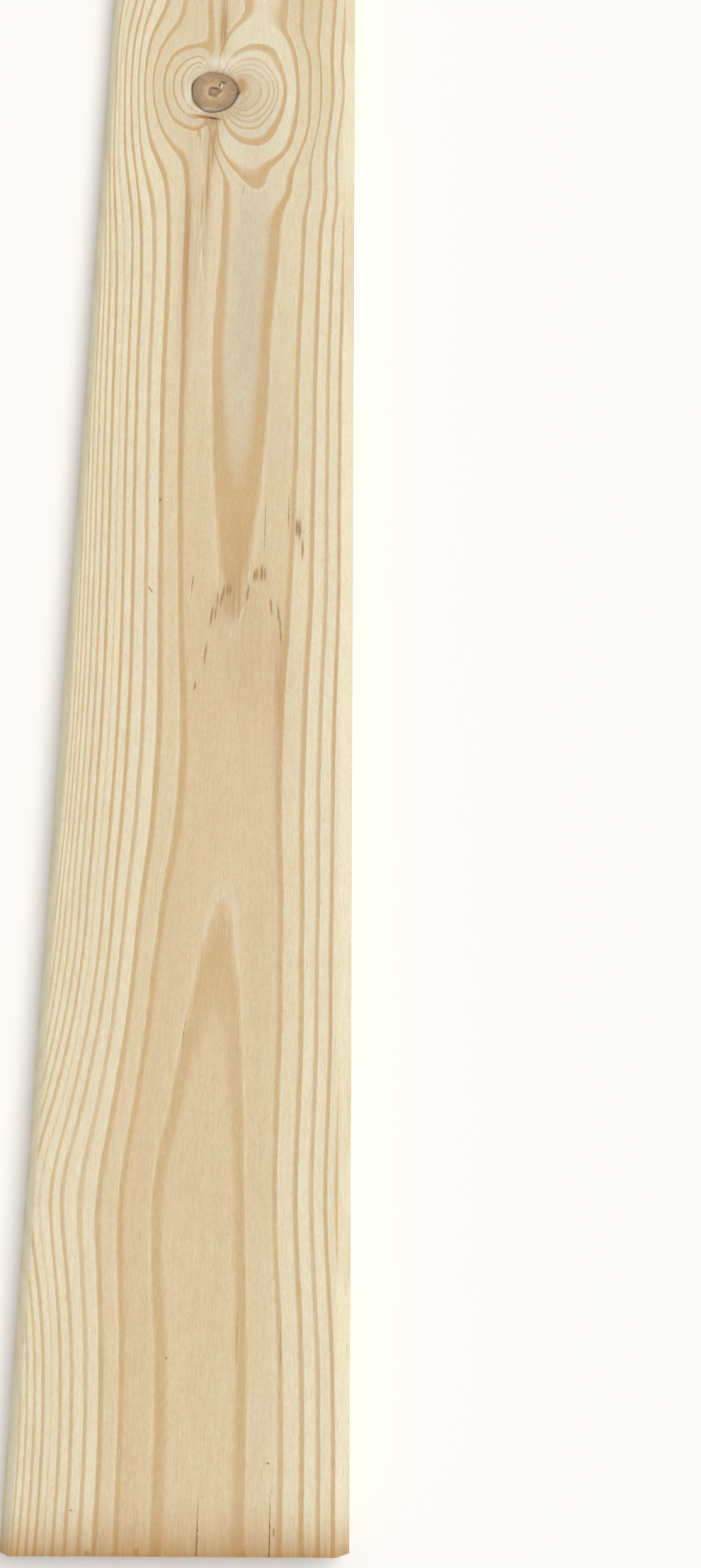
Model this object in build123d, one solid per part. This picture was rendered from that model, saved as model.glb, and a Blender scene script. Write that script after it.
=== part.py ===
from build123d import *

import os

# A planed pine board, lying on its back face, in millimetres.
# X runs across the width, Y along the grain and Z up. The origin is the middle of the back face.

# Driving dimensions
board_length = 1200.0     # square cut at both ends
board_width = 120.0       # over the two planed edges
board_thickness = 20.0    # back face to show face
chamfer_width = 4.5       # taken off the show face, along both long edges
chamfer_depth = 4.5       # taken off the planed edge, equal to the width for 45 degrees

# Places worked out from them
half_width = board_width / 2
face_half_width = half_width - chamfer_width
edge_height = board_thickness - chamfer_depth


# Right half of the section, from the middle of the back face round to the middle of the show face
half_section = [
    (0, 0),
    (half_width, 0),
    (half_width, edge_height),
    (face_half_width, board_thickness),
    (0, board_thickness),
]

# The whole section is the half and its mirror image, carried along the grain
with BuildPart() as board:
    with BuildSketch(Plane.XZ):
        with BuildLine():
            Polyline(*half_section)
            mirror(about=Plane.YZ)
        make_face()
    extrude(amount=board_length / 2, both=True)

os.makedirs("parts", exist_ok=True)
export_step(board.part, "parts/pine_board.step")
print("pine_board", round(board.part.volume), "mm3")
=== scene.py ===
import bpy
import math
import numpy as np
from mathutils import Matrix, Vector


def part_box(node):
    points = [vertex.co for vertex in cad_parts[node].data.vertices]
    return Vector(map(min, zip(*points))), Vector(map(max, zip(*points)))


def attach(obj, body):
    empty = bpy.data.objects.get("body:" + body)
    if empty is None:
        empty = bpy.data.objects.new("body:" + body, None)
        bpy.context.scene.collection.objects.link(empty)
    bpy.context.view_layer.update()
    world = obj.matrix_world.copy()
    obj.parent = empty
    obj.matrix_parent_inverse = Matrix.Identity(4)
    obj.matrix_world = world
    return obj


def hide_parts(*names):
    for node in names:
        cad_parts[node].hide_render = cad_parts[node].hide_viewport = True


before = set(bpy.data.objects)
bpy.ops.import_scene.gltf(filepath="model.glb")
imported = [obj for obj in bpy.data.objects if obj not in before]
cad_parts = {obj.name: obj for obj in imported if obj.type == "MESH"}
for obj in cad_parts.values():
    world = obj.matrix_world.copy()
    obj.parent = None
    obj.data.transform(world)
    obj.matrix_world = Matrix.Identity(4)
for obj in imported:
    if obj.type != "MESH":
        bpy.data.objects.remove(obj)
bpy.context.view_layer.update()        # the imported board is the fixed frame, in metres
mm = 0.001               # metres in a millimetre
endFacing = 0.7          # a face whose normal lies this much along the board belongs to an end
lowCorner, highCorner = (np.array(corner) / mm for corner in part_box("pine_board"))
boardWidth, boardLength, boardThickness = highCorner - lowCorner
print("frame loaded: board", boardWidth.round(2), boardLength.round(2), boardThickness.round(2), "mm")

# The board's own measures, in mm: across from the left edge, along from the near end, height from the back.
pineBoard = {
    "chamfer": 4.5,             # leg of the 45 degree chamfer beside the show face
    "easing": 0.35,             # arrises dulled by the planer and by handling
    "edgeRows": (0.52, 0.26),   # heights of the two rows down each edge, as shares of the thickness
    "columnRuns": [             # across from, across to, columns: in all a multiple of three
        (4.85, 38, 27), (38, 68, 54), (68, 115.15, 39),
    ],
    "rowRuns": [                # along from, along to, row spacing: close rows at the ends and at the knots
        (0, 2, 0.5), (2, 20, 1.5), (20, 560, 4), (560, 600, 1.6), (600, 604, 0.8), (604, 632, 0.5),
        (632, 640, 0.8), (640, 662, 1.6), (662, 1070, 5), (1070, 1084, 1.6), (1084, 1097, 0.8),
        (1097, 1110, 1.6), (1110, 1180, 5), (1180, 1198, 1.5), (1198, 1200, 0.5),
    ],
    "heartRadius": 54.3,        # distance from the tree's heart to the ring edge that is counted as 0
    "heartPath": [              # along, heart's place across, its rise towards the face in square mm
        (0, 68.5, 270), (60, 67.5, 285), (120, 64.5, 285), (150, 66.2, 198), (175, 67.5, 132),
        (200, 68, 75), (226, 69, 10), (250, 70, -80), (285, 70.6, -110), (320, 70.8, -65), (345, 70.8, 0),
        (372, 70.5, 50), (400, 70, 93), (430, 69.6, 135), (460, 69.3, 165), (500, 69.6, 195),
        (540, 70, 215), (580, 70.5, 255), (617, 71, 340), (650, 71, 500), (690, 71, 600), (760, 69, 480),
        (850, 67, 150), (930, 66, -60), (1010, 65, 80), (1100, 66, 260), (1200, 68, 330),
    ],
    # year widths from ring edge 0 to the heart, and from it towards the bark
    "ringsInward": [4.0, 4.2, 4.4, 4.5, 4.6, 4.4, 4.8, 4.6, 5.0, 5.0, 5.0],
    "ringsOutward": [
        5.0, 4.0, 3.3, 3.3, 2.7, 2.0, 2.3, 2.2, 1.9, 1.5, 1.3, 1.2, 1.4, 1.5, 1.6, 1.5, 1.5, 1.5,
    ],
    "knot": {"across": 52.6, "along": 617.4, "radiusAcross": 11.1, "radiusAlong": 12.4, "rootAlong": 592},
    "rimWaves": [(0.025, 2, 0.7), (0.02, 3, -0.4), (0.012, 7, 0)],     # of a knot: swing, number, start
    "rimGroove": (0.4, 0.055),  # depth, and its reach as a share of the knot's radius
    "knotRipples": (0.10, 0.05, 21),                 # inside a knot: mean depth, swing, radians in a radius
    "wedge": {                  # squeezed rings left of the knot, that run out over some mm across
        "rings": 3.9, "ringsPerMm": 0.05, "mostRings": 4, "runOut": (43, 54),
        "length": 92, "lengthPerMm": 1.65, "leastLength": 6, "middle": 4, "farShare": 1.25,
    },
    # rings wrapped round the knot's left side, and rings drawn in along the streak below it
    "collar": {"across": 47, "reachAcross": 6.5, "reachAlong": 17, "rings": 5.5},
    "tail": {"across": 56, "reach": 5, "rings": 0.3, "length": 60, "runOut": (-45, -18)},
    # ridges over and under the knot: across, reach, rings, and along from the knot where each begins, is
    # full, begins to fade and has faded
    "ridges": [
        (63, 6, 0.3, 20, 45, 60, 140), (86, 7, -0.35, 20, 45, 60, 140), (76, 9, -0.5, -75, -52, -35, -15),
        (56, 7, 0.15, -150, -80, -45, -20), (87, 7, -0.15, -150, -80, -45, -20),
    ],
    "loops": {                  # right of the knot: their middle, and how they narrow at the knot
        "across": 60, "farShare": 1.12, "pinch": 0.7, "pinchDegrees": (50, 115), "pointed": (40, 60),
    },
    "loopEdges": [              # distance of each loop's outer edge, and its number
        (0, -8.5), (16, -6), (19.6, -5), (21.8, -4), (23.6, -3), (28, -2), (34, -1), (39.5, 0), (45, 1.2),
        (60, 5), (90, 40),
    ],
    "loopStretch": [            # how much longer than wide the loops are, by their distance
        (0, -0.05), (19, -0.05), (22.4, 0.05), (27, 0.2), (33, 0.37), (42, 0.56), (52, 0.77), (58, 0.92),
        (65, 1.08), (70, 1.2), (85, 1.35),
    ],
    "smallKnot": {"across": 88, "along": 1090, "radiusAcross": 4.6, "radiusAlong": 5.2, "rootAlong": 1080},
    "smallPull": (2.6, 1.9),    # rings drawn out by the small knot, and their reach in its radii
    "fibreReach": 6,            # knot radii over which the fibres part round a knot
    "fibreCore": 0.75,          # knot radii inside which they no longer part
    "wander": 0.018,            # rings, the height of each slow wave
    "wanderWaves": [(31, 9, 0), (47, -13, 1), (83, 17, 2)],        # mm in a radian along and across, start
    "bulges": [                 # left edge: across, along, reach across, reach along, rings drawn outwards
        (0, 119, 17, 33, 1.75), (8, 206, 20, 34, -1.0), (8, 30, 22, 36, -0.5),
    ],
    "endChecks": [(68.0, 20.0), (92.8, 22.0)],       # across, length of each drying check in the near end
    "checkDepth": 0.5,
    "checkHalfWidth": 0.18,
    "tornDepth": 0.55,          # how far the saw pulls down the face arris of an end
    "tornReach": 0.7,           # how far that reaches along the face
    "tornCorner": 6,            # length at each corner that is left whole
    "tornWaves": [(0.3, 1.9, 0), (0.2, 4.7, 1)],     # swing, radians in a mm, start
    "chamferFigure": 0.25,      # how much of the figure shows on the chamfers, which lie along the rings
    "spotDepths": (4, 1),       # below the face, where the soft spots end and where they are full
    # soft spots in the wood: across, along, reach across, reach along, strength
    "stains": [                 # resin drawn into the fibres
        (52.6, 617.4, 16, 17, 0.35), (52.6, 588, 3.4, 13, 0.55), (51.6, 566, 2.0, 28, 0.45),
        (51.0, 530, 1.8, 40, 0.35), (43.0, 525, 3.2, 60, 0.55), (47.4, 530, 1.0, 45, 0.25),
        (56.2, 660, 1.9, 20, 1.0), (55.2, 690, 1.4, 16, 0.6), (66.4, 619.5, 2.0, 7.5, 0.4),
        (53.5, 600, 4.0, 2.5, 0.6), (62.0, 607, 5.0, 4.5, 0.22), (97.0, 385, 1.8, 7, 0.4),
        (75.0, 322, 16.0, 26, 0.24), (73.0, 352, 8.0, 13, 0.4), (72.0, 376, 5.0, 16, 0.2),
        (89.5, 312, 2.6, 34, 0.4), (66.0, 349, 5.0, 8, 0.3), (81.5, 364, 2.6, 5, 0.4),
        (45.4, 445, 1.3, 55, 0.35),
    ],
    "dullSpots": [              # greyish fibres inside the upper pointed ring and round the big knot
        (72.5, 490, 11.0, 85, 0.7), (52.6, 617, 20, 20, 0.5), (75.0, 600, 14, 22, 0.3),
        (53.0, 603.5, 9, 2.5, 0.6),
    ],
    "tanAlong": [(0, 1), (250, 1), (400, 0.9), (480, 0.6), (560, 0.5), (640, 0.7), (760, 1), (1200, 1)],
    "leanSpots": [              # spring growth without the tan of resin
        (99, 50, 11, 130, 0.6), (100, 330, 9, 220, 0.45),
    ],
    "faintSpots": [             # stretches of the face whose rings show less
        (60, 60, 90, 200, 0.13), (70, 90, 20, 130, 0.18), (20, 130, 20, 70, 0.2),
        (68.5, 168, 6.5, 18, 0.55), (80, 670, 45, 30, 0.15), (74, 627, 11, 12, 0.55),
    ],
    "paleSpots": [              # pale, dry fibres round the big knot, with a painted sheen where the raised fibres catch the light
        (57.0, 635, 9.0, 4.0, 0.9), (40.0, 616, 1.8, 10, 0.8), (45.0, 606.0, 4.0, 2.0, 0.6),
        (44.0, 629, 4.0, 3.0, 0.6), (52.0, 606.8, 6.0, 1.0, 0.45),
    ],
}


# S-shaped step: 0 below low, 1 above high, and three t squared less two t cubed between them.
def smoothStep(low, high, value):
    t = np.clip((value - low) / (high - low), 0, 1)
    return t * t * (3 - 2 * t)


# Smooth curve through given stations: a cubic between each two, its slopes taken from their neighbours.
def curveThrough(stations, values, at):
    slope = np.gradient(values, stations)
    i = np.clip(np.searchsorted(stations, at, side="right") - 1, 0, len(stations) - 2)
    gap = stations[i + 1] - stations[i]
    t = np.clip((at - stations[i]) / gap, 0, 1)
    ends = values[i] * (1 + 2 * t) * (1 - t) ** 2 + values[i + 1] * t * t * (3 - 2 * t)
    return ends + gap * (slope[i] * t * (1 - t) ** 2 - slope[i + 1] * t * t * (1 - t))


# The heart of the tree beside a point: its place across and its height, which lies below the back face.
def heartAt(along):
    stations, acrossValues, rises = np.array(pineBoard["heartPath"], float).T
    depth = np.sqrt(pineBoard["heartRadius"] ** 2 - curveThrough(stations, rises, along))
    return curveThrough(stations, acrossValues, along), boardThickness - depth


# Where a branch's line of growth, from the heart through a point, meets the show face: the offset from the
# branch's axis at that height, divided by how far the point is on the way from the heart to the face.
def seenFromHeart(knot, across, along, height):
    heartAcross, heartHeight = heartAt(np.full(1, knot["along"]))
    way = np.maximum((height - heartHeight) / (boardThickness - heartHeight), 0.2)
    centreAcross = heartAcross + way * (knot["across"] - heartAcross)
    centreAlong = knot["rootAlong"] + way * (knot["along"] - knot["rootAlong"])
    return (across - centreAcross) / way, (along - centreAlong) / way


# Distance from a branch's axis over the branch's own radius: 1 on its rim, which is a slightly wavy ellipse.
def knotDistance(knot, across, along, height):
    dx, dy = seenFromHeart(knot, across, along, height)
    turn = np.arctan2(dy, dx)
    waves = sum(swing * np.cos(number * turn + start) for swing, number, start in pineBoard["rimWaves"])
    return np.hypot(dx / knot["radiusAcross"], dy / knot["radiusAlong"]) / (1 + waves)


# Year rings, counted as a smooth number that is whole at each ring's outer edge: the distance from the heart,
# read off the summed year widths, less what the knots and the bulges draw the rings out by.
def yearRings(across, along, height):
    inward, outward = pineBoard["ringsInward"], pineBoard["ringsOutward"]
    start = pineBoard["heartRadius"]
    radii = np.concatenate([start - np.cumsum(inward)[::-1], [start], start + np.cumsum(outward)])
    heartAcross, heartHeight = heartAt(along)
    radius = np.hypot(across - heartAcross, height - heartHeight)
    rings = np.interp(radius, radii, np.arange(-len(inward), len(outward) + 1))
    # left of the big knot a wedge of squeezed rings and a collar, below it a tail, and ridges further off
    knot, wedge, collar, tail = (pineBoard[name] for name in ("knot", "wedge", "collar", "tail"))
    dx, dy = seenFromHeart(knot, across, along, height)
    x = knot["across"] + dx
    beyond = dy - wedge["middle"]
    beyond = beyond * np.where(beyond > 0, wedge["farShare"], 1)
    wedgeLength = np.maximum(wedge["length"] - wedge["lengthPerMm"] * x, wedge["leastLength"])
    squeezed = np.clip(wedge["rings"] - wedge["ringsPerMm"] * x, 0, wedge["mostRings"])
    squeezed = squeezed / (1 + (np.abs(beyond) / wedgeLength) ** 3)
    wrapped = collar["rings"] / (1 + ((x - collar["across"]) / collar["reachAcross"]) ** 2)
    wrapped = wrapped * np.exp(-(beyond / collar["reachAlong"]) ** 2)
    rings = rings - (squeezed + wrapped) * (1 - smoothStep(*wedge["runOut"], x))
    aside = (x - tail["across"]) / tail["reach"]
    run = np.exp(-np.abs(dy) / tail["length"]) * (1 - smoothStep(*tail["runOut"], dy))
    rings = rings + tail["rings"] * np.exp(-aside ** 2) * run
    for middle, reach, raised, begin, full, fade, end in pineBoard["ridges"]:
        run = smoothStep(begin, full, dy) * (1 - smoothStep(fade, end, dy))
        rings = rings + raised * np.exp(-((x - middle) / reach) ** 2) * run
    # right of it loops that start and end at the knot, joined to the rest by a smooth minimum
    shape = pineBoard["loops"]
    loopX, loopY = x - shape["across"], dy * np.where(dy > 0, shape["farShare"], 1)
    turn = np.abs(np.arctan2(loopY, loopX))
    pinch = shape["pinch"] * smoothStep(*np.radians(shape["pinchDegrees"]), turn)
    distance = np.hypot(loopX, loopY) / (1 - pinch)
    stretch = curveThrough(*np.array(pineBoard["loopStretch"], float).T, distance)
    distance = distance / (1 + stretch * np.sin(turn) ** (2 + 2 * smoothStep(*shape["pointed"], distance)))
    loops = curveThrough(*np.array(pineBoard["loopEdges"], float).T, distance)
    mix = np.clip(0.5 + (loops - rings) / 2, 0, 1)
    rings = loops * (1 - mix) + rings * mix - mix * (1 - mix)
    # a small branch further along, and a bulge at the left edge with a dent on each side of it
    drawn, reach = pineBoard["smallPull"]
    rings = rings - drawn / (1 + (knotDistance(pineBoard["smallKnot"], across, along, height) / reach) ** 2)
    for x, y, reachX, reachY, drawn in pineBoard["bulges"]:
        rings = rings - drawn * np.exp(-((across - x) / reachX) ** 2 - ((along - y) / reachY) ** 2)
    # slow wander, a sum of long waves
    waves = sum(np.sin(along / a + across / b + start) for a, b, start in pineBoard["wanderWaves"])
    return rings + pineBoard["wander"] * waves


# Fibre lines part round a branch as a stream does round a post: the place across, less the offset from the
# branch over the squared distance in branch radii, a share that dies away further off.
def fibreLines(across, along, height):
    lines = np.array(across, float)
    for knot in (pineBoard["knot"], pineBoard["smallKnot"]):
        distance = np.maximum(knotDistance(knot, across, along, height), pineBoard["fibreCore"])
        offset = seenFromHeart(knot, across, along, height)[0]
        lines = lines - offset / distance ** 2 * np.exp(-distance / pineBoard["fibreReach"])
    return lines


# Sunk shapes of the show face, as a depth: a bell-shaped groove on each knot's rim, and ripples inside it.
def faceDepth(across, along):
    depth = np.zeros(np.broadcast(across, along).shape)
    grooveDepth, grooveReach = pineBoard["rimGroove"]
    mean, swing, radians = pineBoard["knotRipples"]
    for knot in (pineBoard["knot"], pineBoard["smallKnot"]):
        distance = knotDistance(knot, across, along, np.full(depth.shape, boardThickness))
        depth += grooveDepth * np.exp(-((distance - 1) / grooveReach) ** 2)
        depth += (mean + swing * np.cos(distance * radians)) * (1 - smoothStep(0.85, 1, distance))
    return depth


# Section of the board: rows down each side, as (distance from the middle, height), from the face to the back.
def sideProfile():
    half, ease, leg = boardWidth / 2, pineBoard["easing"], pineBoard["chamfer"]
    slant = ease * math.sqrt(0.5)
    return np.array([
        (half - leg - ease, boardThickness), (half - leg + slant, boardThickness - slant),
        (half - leg / 2, boardThickness - leg / 2), (half - slant, boardThickness - leg + slant),
        (half, boardThickness - leg - ease), *((half, boardThickness * row) for row in pineBoard["edgeRows"]),
        (half, ease), (half - ease, 0),
    ])


# The board's skin: the section's outline carried along the length, and a grid across each sawn end.
def boardSkin():
    side = sideProfile()
    lines = np.concatenate([np.linspace(*run, endpoint=False) for run in pineBoard["columnRuns"]])
    columns = len(lines)
    share = np.append((lines - boardWidth / 2) / side[0, 0], 1)
    for checkAcross, _ in pineBoard["endChecks"]:        # three close columns stand over each check
        middle = np.abs(share * side[0, 0] - (checkAcross - boardWidth / 2)).argmin()
        target = checkAcross - boardWidth / 2 + np.array([-1, 0, 1]) * pineBoard["checkHalfWidth"]
        share[middle - 1:middle + 2] = target / side[0, 0]
    rowRuns = [(a, b, math.ceil((b - a) / spacing)) for a, b, spacing in pineBoard["rowRuns"]]
    along = np.concatenate([np.linspace(*run, endpoint=False) for run in rowRuns] + [[boardLength]])
    # outline, anticlockwise seen from the near end: back, right side upwards, face, left side downwards
    backX = share[::3] * side[-1, 0]
    outlineX = np.concatenate([backX, side[-2::-1, 0], share[-2::-1] * side[0, 0], -side[1:-1, 0]])
    outlineZ = np.concatenate([backX * 0, side[-2::-1, 1], share[-2::-1] * 0 + side[0, 1], side[1:-1, 1]])
    around, rows = len(outlineX), len(along)
    x = np.tile(outlineX, (rows, 1))
    y = np.tile(along[:, None], (1, around))
    z = np.tile(outlineZ, (rows, 1))
    onFace = np.isclose(outlineZ, boardThickness)
    z[:, onFace] -= faceDepth(x[:, onFace] + boardWidth / 2, y[:, onFace])
    for checkAcross, length in pineBoard["endChecks"]:
        seam = onFace & np.isclose(outlineX, checkAcross - boardWidth / 2, atol=0.05)
        z[:, seam] -= (pineBoard["checkDepth"] * np.sqrt(np.clip(1 - along / length, 0, 1)))[:, None]
    # torn fibres: the saw pulls the face arris of each end down by uneven amounts, but not at its corners
    fromEnd = np.minimum(along, boardLength - along)[:, None]
    rag = 0.5 + sum(swing * np.sin(outlineX * rate + start) for swing, rate, start in pineBoard["tornWaves"])
    rag = rag * smoothStep(0, pineBoard["tornCorner"], side[0, 0] - np.abs(outlineX))
    z -= np.where(onFace, pineBoard["tornDepth"] * rag * np.exp(-fromEnd / pineBoard["tornReach"]), 0)
    points = [np.stack([x, y, z], -1).reshape(-1, 3)]
    grid = np.arange(rows * around).reshape(rows, around)
    ahead = np.roll(grid, -1, axis=1)
    quads = [np.stack([grid[:-1], grid[1:], ahead[1:], ahead[:-1]], -1).reshape(-1, 4)]
    # ends: rows across from side to side, face line first, back line last with a third of the columns
    backCount, sideCount = len(backX), len(side) - 1
    faceLine = np.arange(backCount + sideCount - 1, backCount + sideCount + columns)[::-1]
    leftLine = np.arange(around - sideCount + 1, around)
    rightLine = np.arange(backCount, backCount + sideCount - 1)[::-1]
    hexes = []
    count = rows * around
    for row, place in ((0, 0.0), (rows - 1, boardLength)):
        inner = np.arange(count, count + (sideCount - 1) * (columns - 1)).reshape(sideCount - 1, columns - 1)
        count += inner.size
        spread = np.interp(side[1:-1, 1], (0, boardThickness), (side[-1, 0], side[0, 0]))
        innerX = share[None, 1:-1] * spread[:, None]
        innerZ = np.repeat(side[1:-1, 1:], columns - 1, axis=1)
        innerZ[0] = z[row, faceLine[1:-1]] - (boardThickness - side[1, 1])      # keeps below the torn arris
        points.append(np.stack([innerX, np.full_like(innerX, place), innerZ], -1).reshape(-1, 3))
        body = np.concatenate([grid[row, leftLine][:, None], inner, grid[row, rightLine][:, None]], axis=1)
        full = np.concatenate([grid[row, faceLine][None], body])
        cells = np.stack([full[1:, :-1], full[1:, 1:], full[:-1, 1:], full[:-1, :-1]], -1).reshape(-1, 4)
        back, last = grid[row, :backCount], full[-1]
        strip = np.stack([back[:-1], back[1:], last[3::3], last[2::3], last[1::3], last[:-1:3]], -1)
        flip = slice(None, None, 1 if row == 0 else -1)      # both ends face outwards
        quads.append(cells[:, flip])
        hexes.append(strip[:, flip])
    return np.concatenate(points), np.concatenate(quads), np.concatenate(hexes)


atlas = {
    "folds": 4,                 # strips that the length is folded into
    "facePitch": 126.5,         # mm from strip to strip, the chamfers unrolled
    "backPitch": 122.0,
    "edgePitch": 17.5,
    "edgeApart": 72.0,          # mm from the left edge's strips to the right edge's
    "endApart": 30.0,           # mm from the near end to the far end
    "backScale": 1.2 / 1024,    # of the map for a mm
    "endScale": 1.6 / 1024,
    "gap": 1.0,                 # mm below and above the strips
    "backStart": 0.002,         # of the map
    "edgeStart": 0.6,
    "endStart": (0.79, 0.02),
}


# Atlas places: the length is folded into strips, so that the face gets most of the map.
def unfold(mesh, points):
    fold = boardLength / atlas["folds"]
    faceScale = 1 / (atlas["folds"] * atlas["facePitch"])
    backScale, endScale = atlas["backScale"], atlas["endScale"]
    corners = np.empty(len(mesh.loops), int)
    mesh.loops.foreach_get("vertex_index", corners)
    starts, totals = np.empty(len(mesh.polygons), int), np.empty(len(mesh.polygons), int)
    mesh.polygons.foreach_get("loop_start", starts)
    mesh.polygons.foreach_get("loop_total", totals)
    owner = np.repeat(np.arange(len(starts)), totals)
    centre = np.add.reduceat(points[corners], starts, axis=0) / totals[:, None]
    normal = np.empty(len(starts) * 3)
    mesh.polygons.foreach_get("normal", normal)
    normal = normal.reshape(-1, 3)[owner]
    strip = np.clip(centre[:, 1] // fold, 0, atlas["folds"] - 1)[owner]
    x, y, z = points[corners].T
    y = y - strip * fold
    half = boardWidth / 2
    slope = np.clip(np.abs(x) - (half - pineBoard["chamfer"]), 0, None) * (math.sqrt(2) - 1)
    faceU = ((strip + 0.5) * atlas["facePitch"] + x + np.sign(x) * slope) * faceScale
    faceV = 1 - (fold - y + atlas["gap"]) * faceScale
    backU = atlas["backStart"] + ((strip + 0.5) * atlas["backPitch"] - x) * backScale
    backV = (y + atlas["gap"]) * backScale
    edgeU = atlas["edgeStart"] + (strip * atlas["edgePitch"] + (x > 0) * atlas["edgeApart"] + z) * backScale
    endU = atlas["endStart"][0] + (x + half) * endScale
    endV = atlas["endStart"][1] + (z + (y > fold / 2) * atlas["endApart"]) * endScale
    isEnd = np.abs(normal[:, 1]) > endFacing
    isBack = normal[:, 2] < -0.5
    isEdge = np.abs(normal[:, 0]) > 0.9
    u = np.select([isEnd, isBack, isEdge], [endU, backU, edgeU], faceU)
    v = np.select([isEnd, isBack, isEdge], [endV, backV, backV], faceV)
    layer = mesh.uv_layers.new(name="OFBake")
    layer.data.foreach_set("uv", np.stack([u, v], -1).ravel())


# Soft spots on the show face alone: each falls off as a bell curve from its middle, and they are summed.
def softSpots(spots, across, along, height):
    total = np.zeros(len(across))
    for x, y, reachX, reachY, strength in spots:
        total += strength * np.exp(-((across - x) / reachX) ** 2 - ((along - y) / reachY) ** 2)
    none, full = (boardThickness - depth for depth in pineBoard["spotDepths"])
    return np.clip(total, 0, 1) * smoothStep(none, full, height)


# Puts the skin into a mesh, with the wood's own fields stored on its points for the finish to read.
def makeBoard():
    points, quads, hexes = boardSkin()
    across, along, height = points[:, 0] + boardWidth / 2, points[:, 1], points[:, 2]
    mesh = bpy.data.meshes.new("pineBoard")
    shift = np.array([0, -boardLength / 2, 0])
    mesh.from_pydata(((points + shift) * mm).tolist(), [], quads.tolist() + hexes.tolist())
    mesh.update()
    mesh.polygons.foreach_set("use_smooth", np.ones(len(mesh.polygons), bool))
    mesh.set_sharp_from_angle(angle=math.radians(35))
    normals = np.empty(len(mesh.polygons) * 3)
    mesh.polygons.foreach_get("normal", normals)
    mesh.polygons.foreach_set("material_index", (np.abs(normals[1::3]) > endFacing).astype(np.int32))
    unfold(mesh, points)
    knot = np.minimum(knotDistance(pineBoard["knot"], across, along, height),
                      knotDistance(pineBoard["smallKnot"], across, along, height))
    leg = pineBoard["chamfer"]
    onChamfer = (np.abs(points[:, 0]) > boardWidth / 2 - leg) & (height > boardThickness - leg)
    planed = np.where(onChamfer, pineBoard["chamferFigure"], 1.0)
    fields = {
        "ring": yearRings(across, along, height), "knot": knot,
        "stain": softSpots(pineBoard["stains"], across, along, height),
        "dull": softSpots(pineBoard["dullSpots"], across, along, height),
        "pale": softSpots(pineBoard["paleSpots"], across, along, height),
        "tan": curveThrough(*np.array(pineBoard["tanAlong"], float).T, along) * planed
        * (1 - softSpots(pineBoard["leanSpots"], across, along, height)),
        "figure": planed - softSpots(pineBoard["faintSpots"], across, along, height),
    }
    for name, values in fields.items():
        mesh.attributes.new(name, "FLOAT", "POINT").data.foreach_set("value", values.astype(np.float32))
    grain = np.stack([fibreLines(across, along, height), along, height], -1).astype(np.float32)
    mesh.attributes.new("grain", "FLOAT_VECTOR", "POINT").data.foreach_set("vector", grain.ravel())
    board = bpy.data.objects.new("pine_board_planed", mesh)
    bpy.context.scene.collection.objects.link(board)
    print("board skin:", len(points), "points,", len(quads) * 2 + len(hexes) * 4, "triangles")
    return board


board = makeBoard()


# A display colour, written as sRGB hex, as the linear values that shaders take.
def linearColour(hexText):
    shown = [int(hexText[i:i + 2], 16) / 255 for i in (1, 3, 5)]
    return [c / 12.92 if c <= 0.04045 else ((c + 0.055) / 1.055) ** 2.4 for c in shown] + [1]


# Adds a node, sets its options, and fills its sockets with values or with links from other nodes.
# A colour ramp also takes its way of blending and its (position, colour) stops.
def addNode(tree, kind, sockets, out=0, ramp=None, **options):
    made = tree.nodes.new("ShaderNode" + kind)
    for name, value in options.items():
        setattr(made, name, value)
    for name, value in sockets.items():
        if isinstance(value, bpy.types.NodeSocket):
            tree.links.new(value, made.inputs[name])
        else:
            made.inputs[name].default_value = value
    if ramp:
        made.color_ramp.interpolation, stops = ramp
        while len(made.color_ramp.elements) < len(stops):
            made.color_ramp.elements.new(0.5)
        for element, (position, colour) in zip(made.color_ramp.elements, stops):
            element.position = position
            element.color = colour
    return made.outputs[out]


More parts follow.
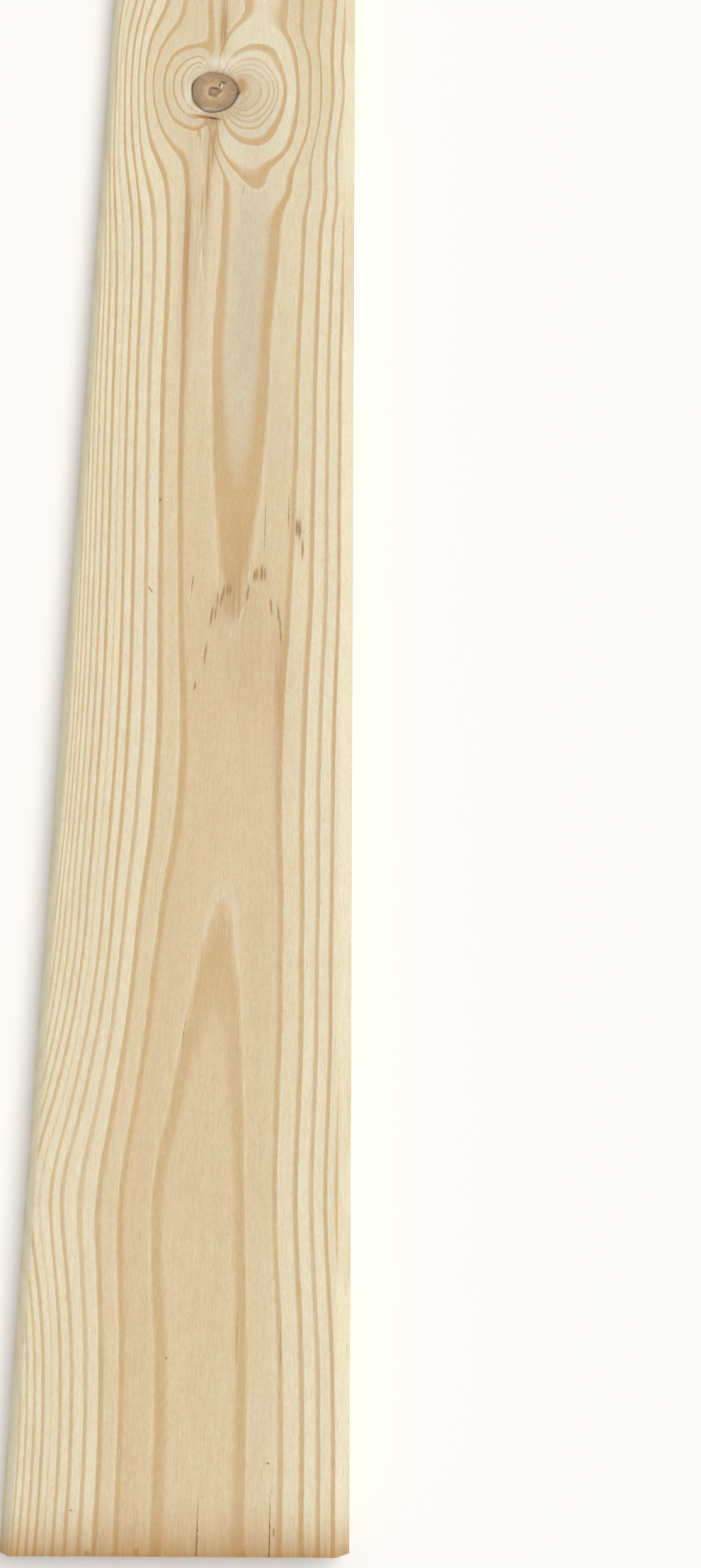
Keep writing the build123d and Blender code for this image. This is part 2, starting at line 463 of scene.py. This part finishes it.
planedPine = {
    "name": "pinePlaned",
    "earlywood": "#EAE0C2",       # soft, pale spring growth
    "tanWood": "#DAC39C",         # spring growth of the resinous years
    "latewood": "#CFAF7F",        # hard, dark autumn growth
    "knot": [                     # from the heart of a branch to its rim
        (0.0, "#B59A76"), (0.1, "#A98D69"), (0.2, "#92785A"), (0.32, "#CDAF89"), (0.47, "#C0A17A"),
        (0.62, "#B4956E"), (0.82, "#A98B69"), (0.97, "#957B5F"),
    ],
    "rim": "#5E4736",             # the gap round a branch, and drying cracks
    "stain": "#B1844F",           # resin drawn along the fibres
    "resin": "#C0925C",           # resin set in the wood beside a branch
    "duct": "#B48E5C",            # fine brown lines of the resin ducts
    "dull": "#CCBEA3",            # greyish, woolly fibres
    "pale": "#EAE3CE",            # pale dry, lifted fibres, and the painted highlights and sheen where raised fibres catch the light
    "tear": "#A98050",            # brown flecks of torn grain
    "speck": "#92714D",           # dirt and bark
    "endTone": "#B88B56",         # dirt and water taken up by the ends
    "endReach": 22.0,             # mm from the end that has taken them up
    "endRagged": 9.0,             # mm by which that varies from fibre to fibre
    "endStrength": 0.95,          # at the very end
    "endFade": 2.2,               # power of its falling off
    "endThirst": (0.97, 1.2),     # strength in the spring and in the autumn growth
    # mm across and along the fibres: streaks, bundles, flecks, mottling, clouds, ducts
    "patterns": [
        (0.45, 16.0), (1.1, 38.0), (0.36, 1.7), (3.2, 8.0), (16.0, 80.0), (0.4, 11.0),
    ],
    # streaks, flecks, mottling, clouds: what the colour is multiplied by at each one's low and at its high
    "shades": [
        ((0.95, 0.945, 0.935), (1.035, 1.035, 1.035)), ((0.915, 0.91, 0.90), (1.075, 1.075, 1.075)),
        ((1.0, 0.97, 0.93), (1.0, 1.02, 1.05)), ((0.98, 0.975, 0.965), (1.015, 1.015, 1.015)),
    ],
    "ringFray": 0.07,             # rings by which the streaks fray each ring's edge
    "ringDrift": 0.12,            # rings by which the clouds shift it
    "bandStart": 1.25,            # where the autumn band begins and is full, back from the ring's end, as
    "bandFull": 0.7,              # multiples of the year's share of latewood
    "crispEdge": 0.07,            # share of the ring over which the band ends
    "highlightWidth": 0.07,             # share of the next ring that the painted highlight beside its crisp edge takes up
    "burl": 2.4,                  # mm, the curled grain inside a branch
    "knotCurl": 0.26,             # knot radii by which the burl bends the knot's rings
    "knotRings": 62.0,            # radians of rings in a knot's radius
    "rimPlace": 1.015,            # the dark gap, in knot radii, with its full and its whole half width
    "rimWidths": (0.012, 0.07),
    "rimCurl": 0.05,              # knot radii by which the burl bends the gap
    "markStrength": {"pockets": 0.8, "tears": 0.85, "specks": 0.85, "scarsAndGlints": 0.65, "cracks": 0.85},
    "markFray": 0.9,              # mm by which the flecks fray the marks' edges
    "markDepth": 1.2,             # mm that the marks reach down from the face
    "bandRelief": -0.03,          # mm, all the reliefs
    "streakRelief": 0.03,
    "fleckRelief": 0.05,
    "crackRelief": -0.5,
    "roughness": (0.62, 0.5),     # of the spring and of the autumn growth
    "kerf": None,                 # scratches of a saw, on the sawn ends alone
    "firstYear": -12,             # the first of the years below, counted in rings from edge 0
    # each year: strength of its latewood, tan, share of latewood in the ring
    "years": [
        (0.6, 0.2, 0.35), (0.6, 0.2, 0.35), (0.6, 0.2, 0.35), (0.6, 0.2, 0.35), (0.5, 0.3, 0.35),
        (0.7, 0.7, 0.4), (0.85, 0.3, 0.44), (0.85, 0.2, 0.44), (0.9, 0.2, 0.42), (1.0, 0.15, 0.38),
        (1.0, 0.2, 0.31), (1.0, 0.85, 0.3), (1.0, 0.95, 0.22), (1.0, 0.7, 0.3), (0.85, 0.2, 0.34),
        (1.0, 0.15, 0.34), (0.95, 0.15, 0.38), (0.4, 0.15, 0.34), (0.95, 0.15, 0.44), (0.8, 0.15, 0.42),
        (0.75, 0.15, 0.42), (0.75, 0.15, 0.42), (0.75, 0.15, 0.42), (0.75, 0.1, 0.42), (0.75, 0.1, 0.4),
        (0.6, 0.1, 0.4), (0.7, 0.1, 0.4), (0.65, 0.1, 0.4), (0.6, 0.1, 0.4), (0.65, 0.1, 0.4),
    ],
    # marks on the face, by the degrees they are turned anticlockwise: across, along, half width, half length
    "pockets": {                  # resin pockets and streaks beside the big knot
        0: [
            (65.4, 620.6, 3.8, 7.2), (51.4, 566.0, 0.7, 26.0), (53.2, 582.0, 0.6, 15.0),
            (56.6, 655.0, 0.6, 15.0), (54.9, 652.0, 0.6, 12.0), (42.0, 530.0, 0.5, 40.0),
            (43.6, 515.0, 0.5, 34.0), (49.2, 545.0, 0.4, 24.0), (79.9, 68.0, 0.35, 12.0),
            (95.4, 65.0, 0.35, 11.0),
        ],
        -5: [(53.6, 590.0, 1.0, 9.0)],
        5: [(45.6, 594.0, 0.5, 4.4), (46.8, 592.0, 0.5, 5.0)],
        80: [(49.0, 602.2, 1.5, 10.0)],
    },
    "tears": {                    # brown flecks where the planer lifted the grain, and resin streaks
        0: [
            (63.4, 353.0, 0.56, 4.0), (64.8, 352.5, 0.56, 4.2), (67.4, 357.0, 0.69, 4.2),
            (68.5, 357.0, 0.62, 3.8), (78.5, 363.5, 0.75, 3.4), (79.5, 364.2, 0.69, 3.8),
            (81.5, 364.6, 0.94, 4.8), (82.9, 364.2, 0.62, 4.0), (89.8, 341.0, 0.5, 4.0),
            (96.0, 386.0, 0.85, 5.4), (97.2, 385.0, 1.0, 5.8), (98.6, 376.0, 0.7, 6.4),
            (92.4, 393.0, 0.38, 11.0), (82.4, 386.0, 0.31, 15.0), (56.6, 655.0, 0.25, 12.0),
        ],
        -5: [
            (61.1, 345.0, 0.75, 6.0), (62.7, 346.5, 0.5, 5.4), (65.6, 355.5, 0.62, 4.4),
            (75.9, 355.5, 0.75, 4.8), (59.1, 328.5, 0.62, 6.0), (55.3, 314.0, 0.75, 2.6),
            (52.4, 359.5, 0.44, 5.2), (68.2, 560.5, 0.3, 3.6), (56.6, 174.0, 0.25, 8.0),
        ],
        5: [
            (85.8, 349.5, 0.62, 5.4), (89.0, 346.0, 0.69, 5.0), (90.2, 336.0, 0.62, 4.8),
        ],
    },
    "specks": {                   # dirt and bark specks, and stains where the saw tore the end
        0: [
            (37.0, 399.0, 0.88, 1.0), (31.0, 0.8, 1.3, 1.8), (47.6, 0.8, 1.5, 2.2), (84.0, 0.8, 1.2, 1.8),
            (24.7, 14.0, 0.5, 0.5), (55.1, 61.7, 0.5, 0.6), (94.3, 7.5, 0.4, 1.8),
        ],
        34: [(34.9, 357.0, 0.44, 2.4)],
        80: [(91.8, 28.6, 0.4, 0.9), (50.0, 601.8, 0.9, 8.0)],
    },
    "cracks": {                   # dark drying checks in the end, round the knot and in its heart
        0: [(68.3, 4.0, 0.07, 13.0), (92.9, 5.0, 0.07, 15.0), (55.0, 621.0, 0.45, 1.6)],
        80: [(53.0, 601.2, 0.5, 3.0), (52.8, 619.2, 0.55, 2.6), (56.6, 622.8, 0.5, 1.8)],
        -50: [(64.2, 616.4, 0.5, 2.0)],
    },
    "scarsAndGlints": {                    # pale lifted fibres, with a painted highlight where they catch the light
        0: [
            (39.2, 618.0, 0.3, 9.0), (56.1, 620.6, 0.9, 1.1), (49.9, 521.0, 0.7, 10.0),
            (51.0, 511.0, 0.5, 9.0), (49.3, 536.0, 0.4, 8.0),
        ],
        -5: [(51.5, 355.5, 0.35, 5.2), (69.4, 337.0, 0.3, 2.6)],
        5: [(41.0, 615.0, 0.4, 9.0)],
        -14: [(73.5, 345.5, 0.35, 5.8)],
    },
}
sawnPine = dict(
    planedPine, name="pineSawnEnd", earlywood="#D9C39A", tanWood="#CDB085", latewood="#A8814F", endReach=0.0,
    patterns=[(0.45, 8.0)] + planedPine["patterns"][1:], markDepth=8.0,
    kerf={"lean": 0.15, "pitch": 0.9, "length": 60, "shade": (0.9, 1.06), "relief": 0.3},
    pockets={}, tears={}, specks={}, scarsAndGlints={})


# Pine, planed along the grain or sawn across it: matt pale wood with darker autumn bands that end in a
# crisp line on their bark side, fine fibre streaks, a brown knot with a cracked rim, torn brown flecks and
# a dark end. Sockets by number: a Map Range has its value, then the low and high it runs from and the low
# and high it runs to; a Mapping has its vector, place, turn and scale; a colour Mix has its share, then its
# colours at 6 and 7.
def makePine(finish):
    material = bpy.data.materials.new(finish["name"])
    material.use_nodes = True
    tree = material.node_tree
    ring, knot, stain, dull, pale, tanShare, figure = (
        addNode(tree, "Attribute", {}, out=2, attribute_name=name)
        for name in ("ring", "knot", "stain", "dull", "pale", "tan", "figure"))
    grain = addNode(tree, "Attribute", {}, out=1, attribute_name="grain")
    place = addNode(tree, "TexCoord", {}, out=3)
    place = addNode(tree, "Mapping", {0: place, 1: (boardWidth / 2, boardLength / 2, 0), 3: [1 / mm] * 3})
    patterns = []
    for width, length in finish["patterns"]:
        spread = addNode(tree, "Mapping", {0: grain, 3: (1 / width, 1 / length, 1 / width)})
        noise = {"Vector": spread, "Scale": 1, "Detail": 2, "Roughness": 0.6}
        patterns.append(addNode(tree, "TexNoise", noise))
    streaks, bundles, flecks, mottle, clouds, ducts = patterns
    burl = addNode(tree, "Mapping", {0: place, 3: [1 / finish["burl"]] * 3})
    burl = addNode(tree, "TexNoise", {"Vector": burl, "Scale": 1, "Detail": 3, "Roughness": 0.6})

    # growth year and the place within it, frayed by the streaks and drifting with the clouds
    frayed = addNode(tree, "Math", {0: streaks, 1: finish["ringFray"], 2: ring}, operation="MULTIPLY_ADD")
    drifted = addNode(tree, "Math", {0: clouds, 1: finish["ringDrift"], 2: frayed}, operation="MULTIPLY_ADD")
    meanShift = (finish["ringFray"] + finish["ringDrift"]) / 2
    year = addNode(tree, "Math", {0: drifted, 1: meanShift}, operation="SUBTRACT")
    phase = addNode(tree, "Math", {0: year}, operation="FRACT")
    whole = addNode(tree, "Math", {0: year}, operation="FLOOR")
    first, count = finish["firstYear"], len(finish["years"])
    whichYear = addNode(tree, "MapRange", {0: whole, 1: first - 0.5, 2: first + count - 0.5})
    stops = [(i / count, (*tones, 1)) for i, tones in enumerate(finish["years"])]
    yearTones = addNode(tree, "ValToRGB", {0: whichYear}, ramp=("CONSTANT", stops))
    strength, tan, share = addNode(tree, "SeparateColor", {0: yearTones}, out=slice(0, 3))

    # autumn band: soft on the heart side, crisp on the bark side, faint on the planed chamfers
    begin = addNode(tree, "Math", {0: share, 1: -finish["bandStart"], 2: 1.0}, operation="MULTIPLY_ADD")
    full = addNode(tree, "Math", {0: share, 1: -finish["bandFull"], 2: 1.0}, operation="MULTIPLY_ADD")
    darken = addNode(tree, "MapRange", {0: phase, 1: begin, 2: full}, interpolation_type="SMOOTHSTEP")
    crisp = addNode(tree, "MapRange", {0: phase, 1: 1 - finish["crispEdge"], 2: 1.0, 3: 1, 4: 0})
    band = addNode(tree, "Math", {0: darken, 1: crisp}, operation="MULTIPLY")
    band = addNode(tree, "Math", {0: band, 1: figure}, operation="MULTIPLY")
    vary = addNode(tree, "MapRange", {0: clouds, 1: 0.35, 2: 0.65, 3: 0.88, 4: 1.06})
    late = addNode(tree, "Math", {0: band, 1: strength}, operation="MULTIPLY")
    late = addNode(tree, "Math", {0: late, 1: vary}, operation="MULTIPLY")
    # spring growth turns tan through the year, in the years and stretches that are resinous
    ripen = addNode(tree, "MapRange", {0: phase, 1: 0.0, 2: 0.25, 3: 0.85, 4: 1})
    tanness = addNode(tree, "Math", {0: tan, 1: ripen}, operation="MULTIPLY")
    tanness = addNode(tree, "Math", {0: tanness, 1: tanShare}, operation="MULTIPLY")
    # painted highlight: a pale line beside each crisp ring edge, where the raised spring growth catches the
    # light, here and there and more near a knot
    edgeHighlight = addNode(tree, "MapRange", {0: phase, 1: 0.0, 2: finish["highlightWidth"], 3: 1, 4: 0})
    highlightPatches = addNode(tree, "MapRange", {0: bundles, 1: 0.4, 2: 0.6, 3: 0.0, 4: 0.5})
    nearKnot = addNode(tree, "MapRange", {0: knot, 1: 1.6, 2: 4.0, 3: 1.0, 4: 0.0})
    highlightPatches = addNode(tree, "Math", {0: nearKnot, 1: 0.4, 2: highlightPatches}, operation="MULTIPLY_ADD")
    edgeHighlight = addNode(tree, "Math", {0: edgeHighlight, 1: highlightPatches}, operation="MULTIPLY")
    edgeHighlight = addNode(tree, "Math", {0: edgeHighlight, 1: figure}, operation="MULTIPLY")
    # resin in the fibres and its ducts, dull fibres, and pale dry fibres round the knot with a painted sheen
    # on them
    fibrous = addNode(tree, "MapRange", {0: bundles, 1: 0.38, 2: 0.62, 3: 0.45, 4: 1})
    soaked = addNode(tree, "Math", {0: stain, 1: fibrous}, operation="MULTIPLY")
    lines = addNode(tree, "MapRange", {0: ducts, 1: 0.64, 2: 0.74, 3: 0, 4: 0.5})
    woolly = addNode(tree, "MapRange", {0: flecks, 1: 0.35, 2: 0.6, 3: 0.3, 4: 1})
    dryAndSheen = addNode(tree, "Math", {0: pale, 1: woolly}, operation="MULTIPLY")

    # knot: rings round its heart, bent by the curled grain, and a dark gap round its rim that comes and goes
    inKnot = addNode(tree, "MapRange", {0: knot, 1: 0.97, 2: 1.02, 3: 1, 4: 0})
    curled = addNode(tree, "Math", {0: burl, 1: finish["knotCurl"], 2: knot}, operation="MULTIPLY_ADD")
    curled = addNode(tree, "Math", {0: curled, 1: finish["knotCurl"] / 2}, operation="SUBTRACT")
    stops = [(at, linearColour(tone)) for at, tone in finish["knot"]]
    knotWood = addNode(tree, "ValToRGB", {0: curled}, ramp=("EASE", stops))
    knotRings = addNode(tree, "Math", {0: curled, 1: finish["knotRings"]}, operation="MULTIPLY")
    knotRings = addNode(tree, "Math", {0: knotRings}, operation="SINE")
    knotRings = addNode(tree, "MapRange", {0: knotRings, 1: -1, 2: 1, 3: 0.88, 4: 1.08})
    knotShade = addNode(tree, "MapRange", {0: burl, 1: 0.3, 2: 0.7, 3: 0.78, 4: 1.16})
    knotShade = addNode(tree, "Math", {0: knotShade, 1: knotRings}, operation="MULTIPLY")
    knotWood = addNode(tree, "Mix", {0: 1.0, 6: knotWood, 7: knotShade}, out=2,
                       data_type="RGBA", blend_type="MULTIPLY")
    rim = addNode(tree, "Math", {0: burl, 1: finish["rimCurl"], 2: knot}, operation="MULTIPLY_ADD")
    rim = addNode(tree, "Math", {0: rim, 1: finish["rimPlace"]}, operation="SUBTRACT")
    rim = addNode(tree, "Math", {0: rim}, operation="ABSOLUTE")
    fullWidth, wholeWidth = finish["rimWidths"]
    rim = addNode(tree, "MapRange", {0: rim, 1: fullWidth, 2: wholeWidth, 3: 1, 4: 0})
    broken = addNode(tree, "MapRange", {0: mottle, 1: 0.35, 2: 0.6, 3: 0.4, 4: 1.0})
    rim = addNode(tree, "Math", {0: rim, 1: broken}, operation="MULTIPLY")

    # masks for the marks: an ellipse each, its edge frayed by the flecks
    fray = np.array([1, 1, 0]) * finish["markFray"]
    jitter = addNode(tree, "VectorMath", {0: flecks, 1: fray, 2: -fray / 2}, operation="MULTIPLY_ADD")
    masks = {}
    for name, most in finish["markStrength"].items():
        nearest = 9.0
        for degrees, marks in finish[name].items():
            c, s = math.cos(math.radians(degrees)), math.sin(math.radians(degrees))
            turned = addNode(tree, "Mapping", {0: place, 2: (0, 0, -math.radians(degrees))})
            turned = addNode(tree, "VectorMath", {0: turned, 1: jitter}, operation="ADD")
            for x, y, halfWidth, halfLength in marks:
                shrink = 1 / np.array([halfWidth, halfLength, finish["markDepth"]])
                middle = np.array([c * x + s * y, c * y - s * x, boardThickness])
                ellipse = {0: turned, 1: shrink, 2: -middle * shrink}
                far = addNode(tree, "VectorMath", ellipse, operation="MULTIPLY_ADD")
                far = addNode(tree, "VectorMath", {0: far}, out=1, operation="LENGTH")
                nearest = addNode(tree, "Math", {0: nearest, 1: far}, operation="MINIMUM")
        masks[name] = addNode(tree, "MapRange", {0: nearest, 1: 0.3, 2: 1.1, 3: most, 4: 0},
                              interpolation_type="SMOOTHSTEP")

    # coats of colour, each laid over the ones before it where its mask is
    coats = [(tanness, "tanWood"), (dull, "dull"), (late, "latewood"), (lines, "duct")]
    for pattern, (low, high) in zip((streaks, flecks, mottle, clouds), finish["shades"]):
        mask = addNode(tree, "MapRange", {0: pattern, 1: 0.3, 2: 0.7})
        shade = addNode(tree, "Mix", {0: mask, 6: (*low, 1), 7: (*high, 1)}, out=2, data_type="RGBA")
        coats.append((1.0, shade))
    # the first pale coat is the painted highlight beside the crisp ring edges; the later pale coats are pale
    # fibres with a painted sheen
    coats += [
        (edgeHighlight, "pale"), (soaked, "stain"), (masks["pockets"], "resin"), (inKnot, knotWood), (dryAndSheen, "pale"),
        (rim, "rim"), (masks["tears"], "tear"), (masks["specks"], "speck"), (masks["scarsAndGlints"], "pale"),
        (masks["cracks"], "rim"),
    ]
    saw = finish["kerf"]
    if saw:
        # slanting scratches of the saw's teeth
        spread = (1 / saw["pitch"], 1, 1 / saw["length"])
        kerf = addNode(tree, "Mapping", {0: place, 2: (0, saw["lean"], 0), 3: spread})
        kerf = addNode(tree, "TexNoise", {"Vector": kerf, "Scale": 1, "Detail": 2})
        low, high = saw["shade"]
        coats.append((1.0, addNode(tree, "MapRange", {0: kerf, 1: 0.35, 2: 0.65, 3: low, 4: high})))
    if finish["endReach"]:
        # dirt and water taken up by the ends, further where the fibres are open
        apart = addNode(tree, "SeparateXYZ", {0: place}, out=1)
        apart = addNode(tree, "Math", {0: apart, 1: boardLength / 2}, operation="SUBTRACT")
        apart = addNode(tree, "Math", {0: apart}, operation="ABSOLUTE")
        fromEnd = addNode(tree, "Math", {0: boardLength / 2, 1: apart}, operation="SUBTRACT")
        ragged, most = finish["endRagged"], finish["endStrength"]
        fromEnd = addNode(tree, "Math", {0: bundles, 1: -ragged, 2: fromEnd}, operation="MULTIPLY_ADD")
        furthest = finish["endReach"] - ragged / 2
        wet = addNode(tree, "MapRange", {0: fromEnd, 1: -ragged / 2, 2: furthest, 3: most, 4: 0})
        wet = addNode(tree, "Math", {0: wet, 1: finish["endFade"]}, operation="POWER")
        low, high = finish["endThirst"]
        thirst = addNode(tree, "MapRange", {0: late, 3: low, 4: high})
        wet = addNode(tree, "Math", {0: wet, 1: thirst}, operation="MULTIPLY")
        coats.append((wet, "endTone"))
    wood = linearColour(finish["earlywood"])
    for mask, tone in coats:
        colour = linearColour(finish[tone]) if isinstance(tone, str) else tone
        blend = "MULTIPLY" if mask == 1.0 else "MIX"
        wood = addNode(tree, "Mix", {0: mask, 6: wood, 7: colour}, out=2, data_type="RGBA", blend_type=blend)

    # relief, in mm: spring growth stands up beside the crisp edge, fibres are ribbed, cracks are sunk
    reliefs = [
        (band, finish["bandRelief"]), (streaks, finish["streakRelief"]), (flecks, finish["fleckRelief"]),
        (masks["cracks"], finish["crackRelief"]),
    ]
    if saw:
        reliefs.append((kerf, saw["relief"]))
    relief = 0.0
    for pattern, step in reliefs:
        relief = addNode(tree, "Math", {0: pattern, 1: step, 2: relief}, operation="MULTIPLY_ADD")
    bump = addNode(tree, "Bump", {"Height": relief, "Strength": 1.0, "Distance": mm})
    springGloss, autumnGloss = finish["roughness"]
    gloss = addNode(tree, "MapRange", {0: late, 3: springGloss, 4: autumnGloss})
    shader = tree.nodes["Principled BSDF"]
    shader.inputs["IOR"].default_value = 1.5
    shader.inputs["Specular IOR Level"].default_value = 0.3
    for name, socket in (("Base Color", wood), ("Roughness", gloss), ("Normal", bump)):
        tree.links.new(socket, shader.inputs[name])
    return material


board.data.materials.append(makePine(planedPine))
board.data.materials.append(makePine(sawnPine))
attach(board, "root")
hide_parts("pine_board")
print("finish: planed pine, sawn ends")

studio = {
    "floor": "#FBFAF7",
    "floorSize": 8.0,                # metres
    "floorLap": 1.0,                 # mm that the floor reaches under the board, all round
    "skyLevel": 0.42,
    "keyLevel": 0.58,                # share of the light on a level surface that the key gives
    "keyHeight": 58.0,               # degrees above the floor
    "keyTurn": 46.0,                 # degrees from the board's right side towards its far end
    "keySoftness": 35.0,             # degrees across
}


# Plain pale floor, an even sky and one broad key light from the right. The floor is four strips round an
# opening that the board covers, so that its back can be seen from below.
def makeStudio():
    square = np.array([(-1, -1, 0), (1, -1, 0), (1, 1, 0), (-1, 1, 0)])
    opening = np.array([boardWidth / 2 - studio["floorLap"], boardLength / 2 - studio["floorLap"], 0]) * mm
    corners = np.concatenate([square * studio["floorSize"] / 2, square * opening])
    mesh = bpy.data.meshes.new("floor")
    mesh.from_pydata(corners.tolist(), [], [(0, 1, 5, 4), (1, 2, 6, 5), (2, 3, 7, 6), (3, 0, 4, 7)])
    floor = bpy.data.objects.new("floor", mesh)
    bpy.context.scene.collection.objects.link(floor)
    paper = bpy.data.materials.new("floorPaperMatt")
    paper.use_nodes = True
    sheet = paper.node_tree.nodes["Principled BSDF"]
    sheet.inputs["Base Color"].default_value = linearColour(studio["floor"])
    sheet.inputs["Roughness"].default_value = 0.9
    sheet.inputs["Specular IOR Level"].default_value = 0.0
    mesh.materials.append(paper)
    world = bpy.data.worlds.new("softSky")
    world.use_nodes = True
    world.node_tree.nodes["Background"].inputs["Color"].default_value = (1, 1, 1, 1)
    world.node_tree.nodes["Background"].inputs["Strength"].default_value = studio["skyLevel"]
    bpy.context.scene.world = world
    lamp = bpy.data.lights.new("keyLight", "SUN")
    height, turn = math.radians(studio["keyHeight"]), math.radians(studio["keyTurn"])
    lamp.energy = math.pi * studio["keyLevel"] / math.sin(height)
    lamp.angle = math.radians(studio["keySoftness"])
    key = bpy.data.objects.new("keyLight", lamp)
    key.rotation_euler = (0, math.pi / 2 - height, turn)
    bpy.context.scene.collection.objects.link(key)


makeStudio()

photoCamera = {
    "place": (59.9, -454.8, 475.0),      # mm, above the right edge and 145 mm in from the near end
    "lookDown": 74.3845,                 # degrees below the horizon
    "turn": 0.23,                        # degrees anticlockwise from straight along the board
    "focalPixels": 1663.0,
    "imageHeight": 2214.0,
}


# Camera at the photograph's viewpoint: its three axes are worked out from how far it looks down and turns.
def makeCamera():
    down, turn = math.radians(photoCamera["lookDown"]), math.radians(photoCamera["turn"])
    ahead = np.array([-math.sin(turn) * math.cos(down), math.cos(turn) * math.cos(down), -math.sin(down)])
    right = np.array([math.cos(turn), math.sin(turn), 0])
    up = np.cross(right, ahead)
    data = bpy.data.cameras.new("photoCamera")
    data.sensor_width = 36
    data.lens = photoCamera["focalPixels"] / photoCamera["imageHeight"] * data.sensor_width
    data.clip_start = 0.01
    camera = bpy.data.objects.new("photoCamera", data)
    axes = np.eye(4)
    axes[:3, 0], axes[:3, 1], axes[:3, 2] = right, up, -ahead
    axes[:3, 3] = np.array(photoCamera["place"]) * mm
    camera.matrix_world = Matrix(axes.tolist())
    bpy.context.scene.collection.objects.link(camera)
    bpy.context.scene.camera = camera


makeCamera()
bpy.context.scene.view_settings.view_transform = "Standard"
print("studio and camera set")
